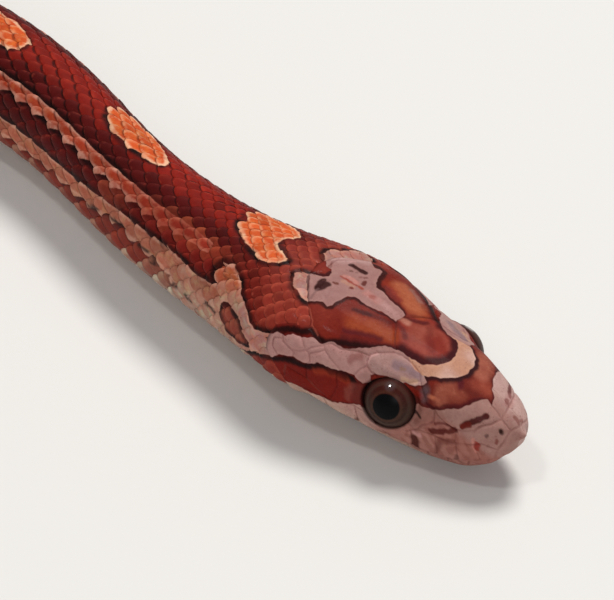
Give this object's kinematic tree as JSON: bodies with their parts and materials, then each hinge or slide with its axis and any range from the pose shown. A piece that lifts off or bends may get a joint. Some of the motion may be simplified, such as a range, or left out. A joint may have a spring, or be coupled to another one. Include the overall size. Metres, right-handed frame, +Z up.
{
  "type": "corn snake",
  "caption": "Still life-size corn snake: slim head with raised shields, easy bends of body on flat belly scutes, tapering tail.",
  "frame": {"origin": "on the floor under the middle of the whole snake", "axes": "+X the way the head points, +Y the snake's left, +Z up"},
  "size_m": [0.5204, 0.1216, 0.0142],
  "materials": {
    "skin": "satin",
    "chin_skin": "satin",
    "eye": "gloss"
  },
  "bodies": {
    "root": {"head": "skin", "lower_jaw": "chin_skin", "eye_left": "eye", "eye_right": "eye", "neck": "skin", "trunk_1": "skin", "trunk_2": "skin", "trunk_3": "skin", "trunk_4": "skin", "trunk_5": "skin", "trunk_6": "skin", "trunk_7": "skin", "trunk_8": "skin", "tail": "skin"}
  },
  "joints": []
}
